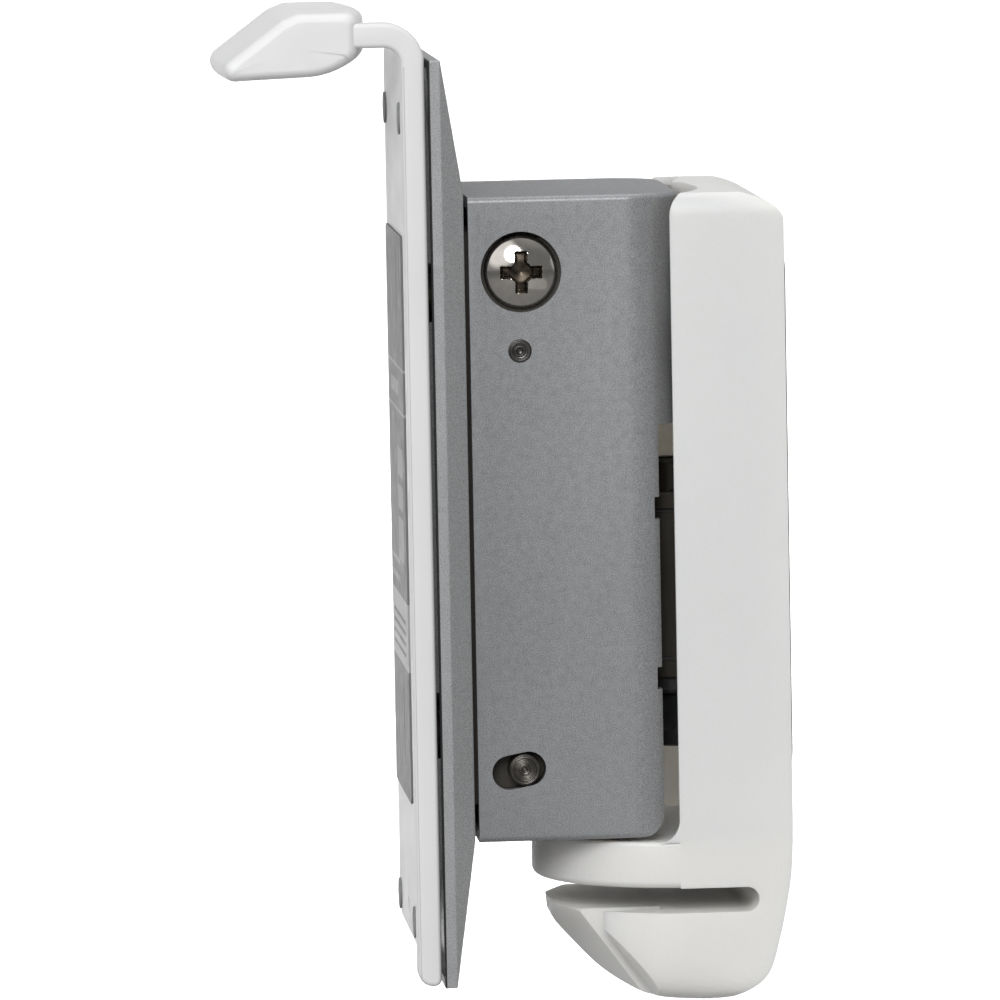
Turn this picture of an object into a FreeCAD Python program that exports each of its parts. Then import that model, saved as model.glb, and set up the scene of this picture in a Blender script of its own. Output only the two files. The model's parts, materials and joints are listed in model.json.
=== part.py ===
import FreeCAD, Part
import math
import os
import re
import Sketcher

# A wall bracket that swivels and tilts: a plastic wall cover over a steel wall plate, a painted box that
# swivels on an upright bolt, and a plate with a hook that is guided in the box by screws and a cross pin.
# +Z is up, the wall is the plane Y = 0, and the plate faces -Y. Lengths are in millimetres.

DIMENSIONS = {
    # painted box (swivel housing)
    "box_half_width": 22.0,
    "box_half_height": 52.95,
    "box_front": -52.1,
    "box_rear": -17.0,
    "box_open_rear": -21.5,
    "box_step_height": 15.0,
    "box_wall": 2.0,
    "box_corner": 9.5,
    "box_edge": 1.0,
    "box_low_corner": 4.0,
    "box_notch": 0.8,
    # swivel axis and the parts stacked on it
    "axis_depth": -17.8,
    "bolt_radius": 4.0,
    "running_gap": 0.05,
    "lug_radius": 9.0,
    "lug_thick": 2.8,
    "upper_lug": -0.1,
    "lower_lug": -28.1,
    "bolt_head_radius": 6.5,
    "bolt_head_tall": 4.8,
    "bolt_length": 40.0,
    "nut_collar_radius": 9.0,
    "nut_collar_tall": 2.6,
    "nut_grip_radius": 7.4,
    "nut_grip_end": 9.0,
    "nut_dome_radius": 4.6,
    "nut_end": 12.0,
    "nut_bore_end": 10.3,
    "washer_thick": 0.6,
    "barrel_radius": 8.5,
    "bush_radius": 6.0,
    "bush_length": 8.0,
    "swivel_limit": 12.0,
    # wall plate
    "plate_half_width": 19.0,
    "plate_half_height": 42.0,
    "plate_thick": 2.5,
    "wall_hole_x": 12.0,
    "wall_hole_z": 32.0,
    "wall_hole_radius": 2.6,
    "plate_corner": 3.0,
    "bow_front": -31.4,
    "bow_turn": 24.7,
    "bow_slope": 1.5,
    "cutter_spare": 1.0,
    # sprung clips on the wall plate
    "clip_foot_inner": 15.0,
    "clip_leg_inner": 19.4,
    "clip_leg_outer": 20.4,
    "clip_front": -10.5,
    "clip_tip_back": -9.0,
    "clip_tall": 12.0,
    # inner web and side liners of the box
    "web_front": -30.5,
    "web_thick": 2.0,
    "web_top": 30.0,
    "block_neck": 7.0,
    "block_flange": 14.0,
    "block_flange_thick": 2.8,
    "block_screw_x": 10.5,
    "block_screw_low": -19.0,
    "block_screw_high": -6.4,
    "block_screw_radius": 2.0,
    "block_screw_head": 3.5,
    "block_screw_head_tall": 2.2,
    "block_screw_length": 4.6,
    "liner_inner": 18.5,
    "liner_half_height": 46.0,
    "liner_front": -50.0,
    "liner_slot_gap": 0.3,
    "liner_slot_down": 0.8,
    "liner_slot_up": 0.4,
    # guide: clamp screws above, cross pin below
    "screw_depth": -43.6,
    "screw_height": 40.6,
    "screw_radius": 3.0,
    "head_radius": 6.0,
    "head_hole_radius": 6.6,
    "pin_depth": -44.5,
    "pin_height": -41.05,
    "pin_radius": 2.6,
    "slot_depth": -45.4,
    "slot_height": -41.2,
    "slot_radius": 2.825,
    "slot_half_span": 1.625,
    "slot_angle": 10.5,
    "rivet_depth": -44.0,
    "rivet_height": 27.7,
    "rivet_radius": 1.9,
    "rivet_proud": 0.2,
    "rivet_dimple": 0.75,
    "rivet_dimple_deep": 0.7,
    "press_gap": 0.02,
    "head_tall": 3.0,
    "head_dome": 12.0,
    "head_seat": 20.05,
    "recess_wide": 6.6,
    "recess_narrow": 1.3,
    "recess_floor": 1.2,
    "screw_tip": 11.5,
    "weld_nut_radius": 5.7,
    "weld_nut_tall": 5.0,
    "clip_ring_radius": 4.6,
    "clip_ring_tall": 1.0,
    # tilt frame
    "frame_half_width": 18.4,
    "frame_sheet": 1.8,
    "frame_half_height": 47.0,
    "frame_rear": -36.0,
    "frame_rivet_x": 12.0,
    "frame_rivet_z": 36.0,
    "frame_rivet_radius": 2.0,
    "frame_rivet_head": 3.6,
    "frame_rivet_head_tall": 1.4,
    "frame_rivet_sunk": 0.6,
    "stud_radius": 4.0,
    # tray
    "tray_front": -58.4,
    "tray_ridge": -56.4,
    "tray_back": -52.8,
    "tray_half_width": 25.0,
    "tray_top": 75.5,
    "tray_bottom": -76.4,
    "tray_back_half_width": 22.0,
    "tray_back_top": 53.5,
    "tray_back_bottom": -52.5,
    "tray_sheet": 1.5,
    # front plate, hook and pad
    "front_face": -62.5,
    "front_back": -58.9,
    "front_left": -22.0,
    "front_right": 19.5,
    "front_top": 76.5,
    "front_bottom": -70.0,
    "front_corner": 4.0,
    "front_hole_radius": 1.5,
    "front_hole_height": -65.9,
    "groove_half_width": 0.3,
    "groove_deep": 0.6,
    "groove_low": -64.6,
    "groove_high": -61.0,
    "bar_left": 19.5,
    "bar_right": 24.5,
    "bar_front": -62.7,
    "bar_bottom": -76.1,
    "bar_toe_front": 2.4,
    "bar_toe_back": 1.2,
    "arm_under": 77.7,
    "arm_over": 81.7,
    "hook_outer": 6.5,
    "hook_inner": 2.8,
    "core_front": -80.6,
    "core_rear": -74.0,
    "core_left": -21.0,
    "pad_half_width": 25.0,
    "pad_edge": 0.6,
    "label_thick": 0.4,
    "label_left": -19.5,
    "label_right": 17.0,
    "label_bottom": -47.0,
    "label_top": 46.5,
    "label_corner": 1.5,
    "bumper_left": -18.9,
    "bumper_right": 16.4,
    "bumper_low": -66.5,
    "bumper_high": 65.8,
    "bumper_radius": 2.6,
    "bumper_tall": 0.35,
    # wall cover
    "cover_half_width": 24.0,
    "cover_wall": 1.4,
    "cover_front": -19.3,
    "cover_back": -0.7,
    "cover_top": 53.7,
    "profile_front": -60.0,
    "roof_wall": 2.0,
    "roof_side_round": 4.5,
    "roof_crown_depth": 14.5,
    "roof_crown_drop": 5.6,
    "roof_arch_radius": 300.0,
    "sweep_gap": 0.35,
    "shelf_top": -53.6,
    "shelf_bottom": -61.2,
    "shelf_radius": 24.0,
    "cable_slot_floor": -65.3,
    "cable_slot_end": -6.4,
    "shelf_edge_low": 1.2,
    "shelf_edge_high": 0.6,
    "gusset_reach": 3.6,
    "hull_nose": 22.2,
    "split_inner": 15.0,
    "split_outer": 18.7,
    "split_rear": -22.0,
}

PLANES = {"XY": "XY_Plane", "XZ": "XZ_Plane", "YZ": "YZ_Plane"}
NODES = []

doc = FreeCAD.newDocument("wall_bracket")
sheet = doc.addObject("Spreadsheet::Sheet", "Dims")
for row, (alias, size) in enumerate(DIMENSIONS.items(), start=1):
    sheet.set(f"A{row}", alias)
    sheet.set(f"B{row}", str(size))
    sheet.setAlias(f"B{row}", alias)
doc.recompute()


def named(formula):
    """Turn a formula in plain dimension names into an expression that reads the sheet."""
    return re.sub(r"\b([a-z]+_[a-z_]+)\b", r"Dims.\1", str(formula))


def number(formula):
    """The present value of a formula."""
    return float(sheet.evalExpression(named(formula)))


def bind(item, prop, formula):
    item.setExpression(prop, named(formula))


def place(item, x=0, y=0, z=0):
    for letter, formula in (("x", x), ("y", y), ("z", z)):
        bind(item, f"Placement.Base.{letter}", formula)


def node(item, name):
    """Declare an object as a finished sub-part: its label is the name of its file."""
    item.Label = name
    NODES.append(item)
    return item


def body(label):
    made = doc.addObject("PartDesign::Body", label)
    made.Label = label
    return made


def sketch(owner, plane, offset=0):
    """A sketch on one of the body's own planes, moved along the plane's normal by offset."""
    made = owner.newObject("Sketcher::SketchObject", f"{owner.Name}_sketch")
    role = PLANES[plane]
    base = [feature for feature in owner.Origin.OriginFeatures if feature.Role == role][0]
    made.AttachmentSupport = [(base, "")]
    made.MapMode = "FlatFace"
    bind(made, "AttachmentOffset.Base.z", offset)
    return made


def pin_point(drawing, geometry, point, formulas):
    """Fix one point of a sketch at two formulas."""
    for kind, formula in zip(("DistanceX", "DistanceY"), formulas):
        index = drawing.addConstraint(Sketcher.Constraint(kind, geometry, point, number(formula)))
        drawing.setExpression(f"Constraints[{index}]", named(formula))


def draw_outline(drawing, corners):
    """A closed outline of straight lines through the corners, each corner held by two formulas."""
    points = [FreeCAD.Vector(number(u), number(v), 0) for u, v in corners]
    count = len(points)
    for i in range(count):
        drawing.addGeometry(Part.LineSegment(points[i], points[(i + 1) % count]))
    for i in range(count):
        drawing.addConstraint(Sketcher.Constraint("Coincident", i, 2, (i + 1) % count, 1))
    for i, corner in enumerate(corners):
        pin_point(drawing, i, 1, corner)


def pad(owner, drawing, length, symmetric=False):
    made = owner.newObject("PartDesign::Pad", f"{owner.Name}_pad")
    made.Profile = drawing
    bind(made, "Length", length)
    if symmetric:
        made.SideType = "Symmetric"
    doc.recompute()
    return made


def round_edges(owner, radius, chosen):
    """Fillet the edges of the body's tip that the chosen function picks by their middle point."""
    names = []
    base = owner.Tip
    for i, edge in enumerate(base.Shape.Edges, start=1):
        middle = edge.valueAt((edge.FirstParameter + edge.LastParameter) / 2)
        if chosen(edge, middle):
            names.append(f"Edge{i}")
    made = owner.newObject("PartDesign::Fillet", f"{owner.Name}_round")
    made.Base = (base, names)
    bind(made, "Radius", radius)
    doc.recompute()
    return made


def prism(label, plane, corners, start, length, symmetric=False):
    """A body: an outline padded along the normal of a plane."""
    made = body(label)
    drawing = sketch(made, plane, start)
    draw_outline(drawing, corners)
    pad(made, drawing, length, symmetric)
    return made


def rectangle(left, right, low, high):
    return [(left, low), (right, low), (right, high), (left, high)]


def along(edge, axis):
    """True for a straight edge along one axis: 0 is X, 1 is Y and 2 is Z."""
    if not isinstance(edge.Curve, Part.Line):
        return False
    direction = edge.Curve.Direction
    return abs(abs(direction[axis]) - 1) < 1e-6


def block(label, x0, x1, y0, y1, z0, z1):
    made = doc.addObject("Part::Box", label)
    bind(made, "Length", f"({x1}) - ({x0})")
    bind(made, "Width", f"({y1}) - ({y0})")
    bind(made, "Height", f"({z1}) - ({z0})")
    place(made, x0, y0, z0)
    return made


AXIS_TURNS = {
    "X": FreeCAD.Rotation(FreeCAD.Vector(0, 1, 0), 90),
    "Y": FreeCAD.Rotation(FreeCAD.Vector(1, 0, 0), -90),
    "Z": FreeCAD.Rotation(),
}


def rod(label, axis, radius, length, x=0, y=0, z=0):
    """A cylinder whose first end is at the given place and which runs along +axis."""
    made = doc.addObject("Part::Cylinder", label)
    bind(made, "Radius", radius)
    bind(made, "Height", length)
    made.Placement.Rotation = AXIS_TURNS[axis]
    place(made, x, y, z)
    return made


def cut(label, base, *tools):
    """The base less every tool."""
    for i, tool in enumerate(tools):
        made = doc.addObject("Part::Cut", f"{label}_cut{i}")
        made.Base = base
        made.Tool = tool
        base = made
    return base


def fuse(label, *parts):
    made = doc.addObject("Part::MultiFuse", label)
    made.Shapes = list(parts)
    return made


def common(label, *parts):
    made = doc.addObject("Part::MultiCommon", label)
    made.Shapes = list(parts)
    return made


def mirrored(label, source):
    """The same piece on the other side of the middle plane X = 0."""
    made = doc.addObject("Part::Mirroring", label)
    made.Source = source
    made.Base = FreeCAD.Vector(0, 0, 0)
    made.Normal = FreeCAD.Vector(1, 0, 0)
    return made


def group(label, *parts):
    """Separate solids that are one node."""
    made = doc.addObject("Part::Compound", label)
    made.Links = list(parts)
    return made


def pair(label, source):
    return group(label, source, mirrored(f"{label}_other", source))


def tube(label, axis, outer, inner, length, x=0, y=0, z=0):
    return cut(label, rod(f"{label}_outer", axis, outer, length, x, y, z),
               rod(f"{label}_inner", axis, inner, length, x, y, z))


def guide_slot(label):
    """The cutter for the short inclined slot that the cross pin runs in, through both sides."""
    reach = "slot_half_span"
    shift = f"{reach} * cos(slot_angle)"
    rise = f"{reach} * sin(slot_angle)"
    span = "2 * box_half_width + 2"
    left = "-box_half_width - 1"
    ends = [rod(f"{label}_end{i}", "X", "slot_radius", span, left,
                f"slot_depth + ({side}) * {shift}", f"slot_height + ({side}) * {rise}")
            for i, side in enumerate((-1, 1))]
    corners = []
    for across, lengthwise in ((-1, -1), (-1, 1), (1, 1), (1, -1)):
        depth = (f"slot_depth + ({lengthwise}) * {shift} - ({across}) * slot_radius * sin(slot_angle)")
        height = (f"slot_height + ({lengthwise}) * {rise} + ({across}) * slot_radius * cos(slot_angle)")
        corners.append((depth, height))
    middle = prism(f"{label}_middle", "YZ", corners, 0, span, symmetric=True)
    return fuse(label, middle, *ends)


# ---------------------------------------------------------------- wall side

def make_wall_plate():
    plate = prism("wall_plate_sheet", "XZ",
                  rectangle("-plate_half_width", "plate_half_width", "-plate_half_height", "plate_half_height"),
                  0, "plate_thick")
    round_edges(plate, "plate_corner", lambda edge, middle: along(edge, 1))
    solids = [plate]
    for name, low in (("upper", "upper_lug"), ("lower", "lower_lug")):
        arm = block(f"{name}_lug_arm", "-lug_radius", "lug_radius", "axis_depth", "-plate_thick", low,
                    f"{low} + lug_thick")
        nose = rod(f"{name}_lug_nose", "Z", "lug_radius", "lug_thick", 0, "axis_depth", low)
        solids += [arm, nose]
    solid = fuse("wall_plate_solid", *solids)
    holes = [rod("lug_bore", "Z", "bolt_radius + running_gap", "upper_lug - lower_lug + 2 * lug_thick", 0,
                 "axis_depth", "lower_lug - lug_thick / 2")]
    for i, (side, level) in enumerate(((-1, -1), (-1, 1), (1, -1), (1, 1))):
        holes.append(rod(f"wall_hole{i}", "Y", "wall_hole_radius", "plate_thick + 2 * cutter_spare",
                         f"({side}) * wall_hole_x", "-plate_thick - cutter_spare", f"({level}) * wall_hole_z"))
    node(cut("wall_plate", solid, *holes), "wall_plate")


def make_swivel_stack():
    """The bolt, its nut and the friction washers: all stay with the wall plate."""
    top = "upper_lug + lug_thick"
    head = rod("bolt_head", "Z", "bolt_head_radius", "bolt_head_tall", 0, "axis_depth", top)
    shank = rod("bolt_shank", "Z", "bolt_radius", "bolt_length", 0, "axis_depth", f"{top} - bolt_length")
    node(fuse("swivel_bolt", head, shank), "swivel_bolt")
    inner = "bolt_radius + running_gap"
    thick = "washer_thick"
    node(tube("upper_washer", "Z", "barrel_radius", inner, thick, 0, "axis_depth", "upper_lug - washer_thick"),
         "upper_washer")
    node(tube("lower_washer", "Z", "barrel_radius", inner, thick, 0, "axis_depth", "lower_lug + lug_thick"),
         "lower_washer")
    collar = rod("nut_collar", "Z", "nut_collar_radius", "nut_collar_tall", 0, "axis_depth",
                 "lower_lug - nut_collar_tall")
    grip = rod("nut_grip", "Z", "nut_grip_radius", "nut_grip_end - nut_collar_tall", 0, "axis_depth",
               "lower_lug - nut_grip_end")
    dome = doc.addObject("Part::Cone", "nut_dome")
    bind(dome, "Radius1", "nut_dome_radius")
    bind(dome, "Radius2", "nut_grip_radius")
    bind(dome, "Height", "nut_end - nut_grip_end")
    place(dome, 0, "axis_depth", "lower_lug - nut_end")
    bore = rod("nut_bore", "Z", inner, "nut_bore_end + cutter_spare", 0, "axis_depth", "lower_lug - nut_bore_end")
    node(cut("clamp_nut", fuse("nut_solid", collar, grip, dome), bore), "clamp_nut")


CLIP_LEVELS = (22, -16)


def make_cover_clips():
    """Sprung strips on the wall plate that grip the side walls of the cover."""
    root = "-plate_thick - clip_leg_outer + clip_leg_inner"
    strips = []
    for i, low in enumerate(CLIP_LEVELS):
        high = f"({low}) + clip_tall"
        foot = block(f"clip_foot{i}", "clip_foot_inner", "clip_leg_outer", root, "-plate_thick", low, high)
        leg = block(f"clip_leg{i}", "clip_leg_inner", "clip_leg_outer", "clip_front", root, low, high)
        tip = block(f"clip_tip{i}", "clip_leg_outer", "cover_half_width - cover_wall", "clip_front",
                    "clip_tip_back", low, high)
        strips.append(fuse(f"clip{i}", foot, leg, tip))
    strips += [mirrored(f"{strip.Name}_other", strip) for strip in strips]
    node(group("cover_clips", *strips), "cover_clips")


# The lower rear edge of the cover from the side, as depth from the back edge and height: it leaves the wall
# and rounds into the keel.
REAR_CURVE = [(0, -50), (-0.2, -57), (-0.5, -60.2), (-1.05, -63.5), (-1.7, -66.9), (-2.5, -70.2),
              (-3.4, -73.5), (-4.4, -75.7), (-6.3, -77.6), (-9.0, -79.1), (-13.0, -80.7), (-19.0, -82.0),
              (-27.0, -83.0)]


def side_profile(label, drop):
    """The cover's outline seen from the side, as a slab. The roof is lowered by drop for the inside."""
    top = number("cover_top") - drop
    back = number("cover_back")
    front = number("profile_front")
    crown_y = back - number("roof_crown_depth")
    crown_z = top - number("roof_crown_drop")

    def point(y, z):
        return FreeCAD.Vector(0, y, z)

    crown = Part.Ellipse(point(back, crown_z), point(crown_y, top), point(crown_y, crown_z))
    angles = sorted((crown.parameter(point(back, crown_z)), crown.parameter(point(crown_y, top))))
    rear_points = [point(back + y, z) for y, z in REAR_CURVE]
    rear = Part.BSplineCurve()
    rear.interpolate(rear_points, InitialTangent=point(0, -1))
    front_low = point(front, rear_points[-1].z)
    edges = [
        Part.makeLine(point(front, top), point(crown_y, top)),
        Part.Edge(crown, *angles),
        Part.makeLine(point(back, crown_z), rear_points[0]),
        rear.toShape(),
        Part.makeLine(rear_points[-1], front_low),
        Part.makeLine(front_low, point(front, top)),
    ]
    half = number("cover_half_width")
    face = Part.Face(Part.Wire(Part.__sortEdges__(edges)))
    face.translate(FreeCAD.Vector(-half, 0, 0))
    made = doc.addObject("Part::Feature", label)
    made.Shape = face.extrude(FreeCAD.Vector(2 * half, 0, 0))
    return made


# Heights between which the bow of the hull is trimmed, and how far the trimming shapes reach.
BOW_LEVELS = (-55.0, -95.0)
BOW_REACH = 60.0

# Stations of the hull under the cable slot. Each gives how far it lies ahead of the swivel axis, how far the
# keel hangs under the slot floor, and the width and height of the rounding between side and keel.
HULL_STATIONS = [
    (-19.0, 10.5, 5.0, 4.0),
    (-12.0, 13.6, 6.5, 4.8),
    (-8.0, 14.6, 8.5, 6.2),
    (-5.0, 15.0, 10.5, 8.8),
    (-2.0, 15.2, 11.5, 11.6),
    (1.0, 15.1, 12.2, 13.4),
    (4.0, 14.9, 12.5, 13.8),
    (8.0, 13.9, 13.0, 13.4),
    (12.0, 11.9, 13.5, 11.6),
    (16.0, 8.6, 13.0, 8.4),
    (19.0, 5.4, 10.0, 5.2),
    (21.4, 2.0, 5.0, 1.9),
]


def hull_section(depth, half, keel, wide, tall, floor):
    """An upright section of the hull: straight sides, rounded bilges and a flat keel."""
    corners = [(half, 0), (half, (keel - tall) / 2), (half, keel - tall), (half, keel - tall / 4),
               (half - wide / 4, keel), (half - wide, keel)]
    poles = [FreeCAD.Vector(x, depth, floor - z) for x, z in corners]
    poles.append(FreeCAD.Vector(0, depth, floor - keel))
    poles += [FreeCAD.Vector(-x, depth, floor - z) for x, z in reversed(corners)]
    skin = Part.BSplineCurve()
    skin.buildFromPoles(poles, False, 3)
    return Part.Wire([skin.toShape(), Part.makeLine(poles[-1], poles[0])])


def make_hull():
    """The boat-like lower body of the cover, lofted through upright sections."""
    nose = number("hull_nose")
    floor = number("cable_slot_floor")
    axis = number("axis_depth")
    width = number("cover_half_width")
    wires = []
    for ahead, keel, wide, tall in HULL_STATIONS:
        half = width * math.sqrt(1 - (max(ahead, 0) / nose) ** 2)
        wires.append(hull_section(axis - ahead, half, keel, min(wide, half - 0.2), tall, floor))
    made = doc.addObject("Part::Feature", "hull")
    made.Shape = Part.makeLoft(wires, True, False)
    return made


def make_bow_trims():
    """What lies outside the two slanted faces of the hull's bow."""
    lean = number("bow_slope")
    top = number("cable_slot_floor")
    outline = [((top - height) / lean, height) for height in BOW_LEVELS]
    outline += [(-BOW_REACH, height) for height in reversed(BOW_LEVELS)]
    trims = []
    for side in (-1, 1):
        trim = prism(f"bow_trim{side + 1}", "YZ", outline, 0, 2 * BOW_REACH, symmetric=True)
        trim.Placement.Rotation = FreeCAD.Rotation(FreeCAD.Vector(0, 0, 1), side * number("bow_turn"))
        place(trim, f"({side}) * cover_half_width", "bow_front", 0)
        trims.append(trim)
    return trims


def make_box_sweep():
    """The room the box needs at rest and at both ends of its swivel."""
    gap = "sweep_gap"
    places = []
    for i, side in enumerate((-1, 0, 1)):
        room = prism(f"sweep_room{i}", "XY", rectangle(f"-box_half_width - {gap}", f"box_half_width + {gap}",
                                                       f"box_front - {gap}", f"box_rear + {gap}"),
                     "shelf_top", "2 * cover_top + 2 * box_half_height")
        round_edges(room, "box_corner", lambda edge, middle: along(edge, 2) and middle.y > -30)
        turn = FreeCAD.Rotation(FreeCAD.Vector(0, 0, 1), side * number("swivel_limit"))
        centre = FreeCAD.Vector(0, number("axis_depth"), 0)
        room.Placement = FreeCAD.Placement(FreeCAD.Vector(), turn, centre)
        places.append(room)
    return fuse("box_sweep", *places)


def make_gusset(sweep):
    """The concave corner between the front edge of the side walls and the shelf."""
    reach = "gusset_reach"
    ahead = f"cover_front - {reach}"
    blank = block("gusset_blank", "-cover_half_width", "cover_half_width", ahead, "cover_front", "shelf_top",
                  f"shelf_top + {reach}")
    hollow = rod("gusset_hollow", "X", reach, "3 * cover_half_width", "-1.5 * cover_half_width", ahead,
                 f"shelf_top + {reach}")
    return cut("gusset", blank, hollow, sweep)


def make_shelf():
    """The shelf over the cable slot: its front is a half disc about the swivel axis."""
    half = "cover_half_width"
    tall = "shelf_top - shelf_bottom"
    disc = rod("shelf_disc", "Z", "shelf_radius", tall, 0, "axis_depth", "shelf_bottom")
    for radius, level in (("shelf_edge_low", "shelf_bottom"), ("shelf_edge_high", "shelf_top")):
        doc.recompute()
        rounded = doc.addObject("Part::Fillet", f"{radius}_round")
        rounded.Base = disc
        height = number(level)
        rims = [i for i, edge in enumerate(disc.Shape.Edges, start=1)
                if abs(edge.BoundBox.ZMin - height) < 0.01 and edge.BoundBox.ZLength < 0.01]
        rounded.Edges = [(i, number(radius), number(radius)) for i in rims]
        disc = rounded
    slab = block("shelf_slab", f"-{half}", half, "axis_depth", "cover_back", "shelf_bottom", "shelf_top")
    return fuse("shelf", disc, slab)


def make_slot_end():
    """The closed rear end of the cable slot, with a round bottom to the slot."""
    half = "cover_half_width"
    radius = "(shelf_bottom - cable_slot_floor) / 2"
    joint = block("slot_end_block", f"-{half}", half, f"cable_slot_end - {radius}", "cover_back",
                  "cable_slot_floor - 1", "shelf_bottom")
    round_end = rod("slot_end_round", "X", radius, f"3 * {half}", f"-1.5 * {half}", f"cable_slot_end - {radius}",
                    f"cable_slot_floor + {radius}")
    return cut("slot_end", joint, round_end)


def make_wall_cover():
    half = "cover_half_width"
    inner = "(cover_half_width - cover_wall)"
    walls = prism("cover_walls", "XY", rectangle(f"-{half}", half, "cover_front", "cover_back"), "shelf_bottom",
                  "cover_top - shelf_bottom")
    round_edges(walls, "roof_side_round",
                lambda edge, middle: middle.z > 0 and (along(edge, 1) or (along(edge, 0) and middle.y < -10)))
    arch = rod("roof_arch", "Y", "roof_arch_radius", 100, 0, -90, "cover_top - roof_arch_radius")
    arched_walls = common("cover_arched_walls", walls, arch)
    room = prism("cover_room", "XY", rectangle(f"-{inner}", inner, "cover_front - 10", 2), "shelf_top",
                 "cover_top - roof_wall - shelf_top")
    room_cut = common("cover_room_shape", room, side_profile("cover_room_profile", number("roof_wall")))
    sweep = make_box_sweep()
    upper = cut("cover_upper", fuse("cover_upper_solid", arched_walls, make_shelf()), room_cut, sweep)
    splits = []
    for side, low, high in (("right", "split_inner", "split_outer"), ("left", "-split_outer", "-split_inner")):
        splits.append(block(f"split_{side}", low, high, "profile_front", "split_rear", "cable_slot_floor - 30",
                            "cable_slot_floor + 1"))
    lower = cut("cover_lower", make_hull(), *splits, *make_bow_trims())
    whole = fuse("cover_whole", upper, make_gusset(sweep), make_slot_end(), lower)
    node(common("wall_cover_shape", whole, side_profile("cover_profile", 0)), "wall_cover")


# ---------------------------------------------------------------- swivelling box

def make_swivel_housing():
    outer = prism("box_outer", "XY",
                  rectangle("-box_half_width", "box_half_width", "box_front", "box_rear"),
                  0, "2 * box_half_height", symmetric=True)
    rear = number("box_rear")
    front = number("box_front")
    tall = number("box_half_height")
    round_edges(outer, "box_corner", lambda edge, middle: along(edge, 2) and abs(middle.y - rear) < 0.01)
    round_edges(outer, "box_edge",
                lambda edge, middle: abs(abs(middle.z) - tall) < 0.01 and middle.y > front + 0.01)
    side = prism("box_side", "YZ", [
        ("box_front - 1", "-box_half_height"), ("box_open_rear", "-box_half_height"),
        ("box_open_rear", "box_step_height"), ("box_rear + 1", "box_step_height"),
        ("box_rear + 1", "box_half_height + 1"), ("box_front - 1", "box_half_height + 1")],
        0, "3 * box_half_width", symmetric=True)
    open_rear = number("box_open_rear")
    round_edges(side, "box_low_corner",
                lambda edge, middle: along(edge, 0) and abs(middle.y - open_rear) < 0.01 and middle.z < -50)
    room = prism("box_room", "XY", rectangle("-(box_half_width - box_wall)", "box_half_width - box_wall",
                                             "box_front - 1", "box_rear - box_wall"),
                 0, "2 * (box_half_height - box_wall)", symmetric=True)
    round_edges(room, "box_corner - box_wall", lambda edge, middle: along(edge, 2) and middle.y > -30)
    shell = cut("box_shell", common("box_form", outer, side), room)
    tools = [guide_slot("box_slot")]
    span = "2 * box_half_width + 2"
    left = "-box_half_width - 1"
    tools.append(rod("box_head_holes", "X", "head_hole_radius", span, left, "screw_depth", "screw_height"))
    tools.append(rod("box_rivet_holes", "X", "rivet_radius + press_gap", span, left, "rivet_depth", "rivet_height"))
    for i, lug in enumerate(("upper_lug", "lower_lug")):
        tools.append(block(f"box_notch{i}", left, "box_half_width + 1", "box_open_rear - box_notch",
                           "box_open_rear + 1", f"{lug} - box_notch / 2", f"{lug} + lug_thick + box_notch / 2"))
    node(cut("swivel_housing", shell, *tools), "swivel_housing")


BLOCK_SCREWS = [(side, height) for side in ("-block_screw_x", "block_screw_x")
                for height in ("block_screw_low", "block_screw_high")]


def make_rear_web():
    inside = "box_half_width - box_wall"
    web = block("web_sheet", f"-({inside})", inside, "web_front", "web_front + web_thick",
                "-(box_half_height - box_wall)", "web_top")
    holes = [rod(f"web_hole{i}", "Y", "block_screw_radius + running_gap", "web_thick + 2 * cutter_spare", side,
                 "web_front - cutter_spare", height)
             for i, (side, height) in enumerate(BLOCK_SCREWS)]
    node(cut("rear_web", web, *holes), "rear_web")


def make_swivel_block():
    """The barrel that turns on the bolt, with a neck and a flange on the web."""
    back = "web_front + web_thick"
    low = "lower_lug + lug_thick + washer_thick + running_gap"
    high = "upper_lug - washer_thick - running_gap"
    tall = f"({high}) - ({low})"
    barrel = rod("block_barrel", "Z", "barrel_radius", tall, 0, "axis_depth", low)
    neck = block("block_neck_form", "-block_neck", "block_neck", back, "axis_depth", low, high)
    flange = block("block_flange_form", "-block_flange", "block_flange", back, f"{back} + block_flange_thick", low,
                   high)
    bore = rod("block_bore", "Z", "bush_radius", tall, 0, "axis_depth", low)
    holes = [rod(f"block_hole{i}", "Y", "block_screw_radius + press_gap", "2 * block_flange_thick", side, back,
                 height)
             for i, (side, height) in enumerate(BLOCK_SCREWS)]
    node(cut("swivel_block", fuse("block_solid", barrel, neck, flange), bore, *holes), "swivel_block")
    for name, start in (("lower_bush", low), ("upper_bush", f"({high}) - bush_length")):
        node(tube(name, "Z", "bush_radius - press_gap", "bolt_radius + running_gap", "bush_length", 0, "axis_depth",
                  start), name)


def make_block_screws():
    screws = []
    for i, (side, height) in enumerate(BLOCK_SCREWS):
        head = rod(f"block_screw_top{i}", "Y", "block_screw_head", "block_screw_head_tall", side,
                   "web_front - block_screw_head_tall", height)
        shank = rod(f"block_screw_shank{i}", "Y", "block_screw_radius", "block_screw_length", side, "web_front",
                    height)
        screws.append(fuse(f"block_screw{i}", head, shank))
    node(group("block_screws", *screws), "block_screws")


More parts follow.
